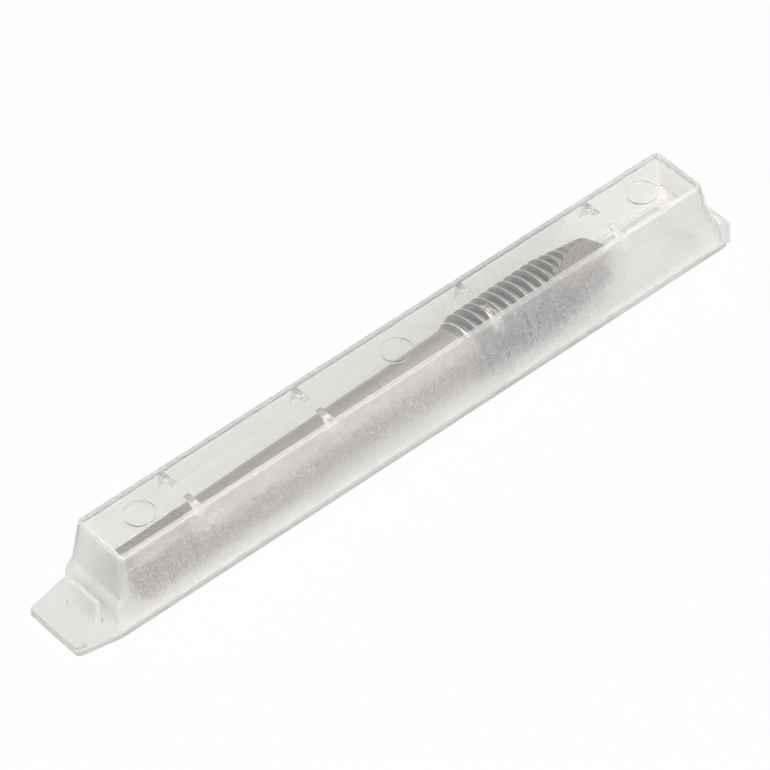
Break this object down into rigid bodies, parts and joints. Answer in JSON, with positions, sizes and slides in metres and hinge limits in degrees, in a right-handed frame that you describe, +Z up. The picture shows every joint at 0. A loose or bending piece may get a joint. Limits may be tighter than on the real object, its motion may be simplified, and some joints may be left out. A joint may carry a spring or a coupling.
{
  "type": "thread tap in storage case",
  "caption": "Spiral-point machine tap lying in a long, narrow, translucent plastic case with a hinged lid, a finger tab and a latch hook.",
  "frame": {"origin": "under the middle of the closed case's box, on the surface that it lies on", "axes": "+X along the case from the finger tab to the hinge, +Y across it, +Z up"},
  "size_m": [0.0952, 0.011, 0.0114],
  "materials": {
    "case_plastic": "translucent natural polypropylene, polished top and frosted walls",
    "tool_steel": "ground high-speed steel"
  },
  "bodies": {
    "base": {"case_base": "case_plastic"},
    "strap": {"hinge_strap": "case_plastic"},
    "lid": {"case_lid": "case_plastic"},
    "hook": {"latch_hook": "case_plastic"},
    "tool": {"tap": "tool_steel"}
  },
  "joints": [
    {"name": "strap_fold", "type": "hinge", "parent": "base", "child": "strap", "pos_m": [0.047, 0, 0.00135], "axis": [0, 1, 0], "range_deg": [0, 60]},
    {"name": "lid_fold", "type": "hinge", "parent": "strap", "child": "lid", "pos_m": [0.047, 0, 0.00455], "axis": [0, 1, 0], "range_deg": [0, 60]},
    {"name": "hook_flex", "type": "hinge", "parent": "base", "child": "hook", "pos_m": [-0.0431, 0, 0.00135], "axis": [0, -1, 0], "range_deg": [0, 12], "stiffness_Nm_per_rad": 0.0005},
    {"name": "tap_slide", "type": "slide", "parent": "base", "child": "tool", "axis": [1, 0, 0], "range_m": [-0.001, 0.01]}
  ],
  "couplings": [
    {"joint": "strap_fold", "follows": "lid_fold", "ratio": 1}
  ]
}
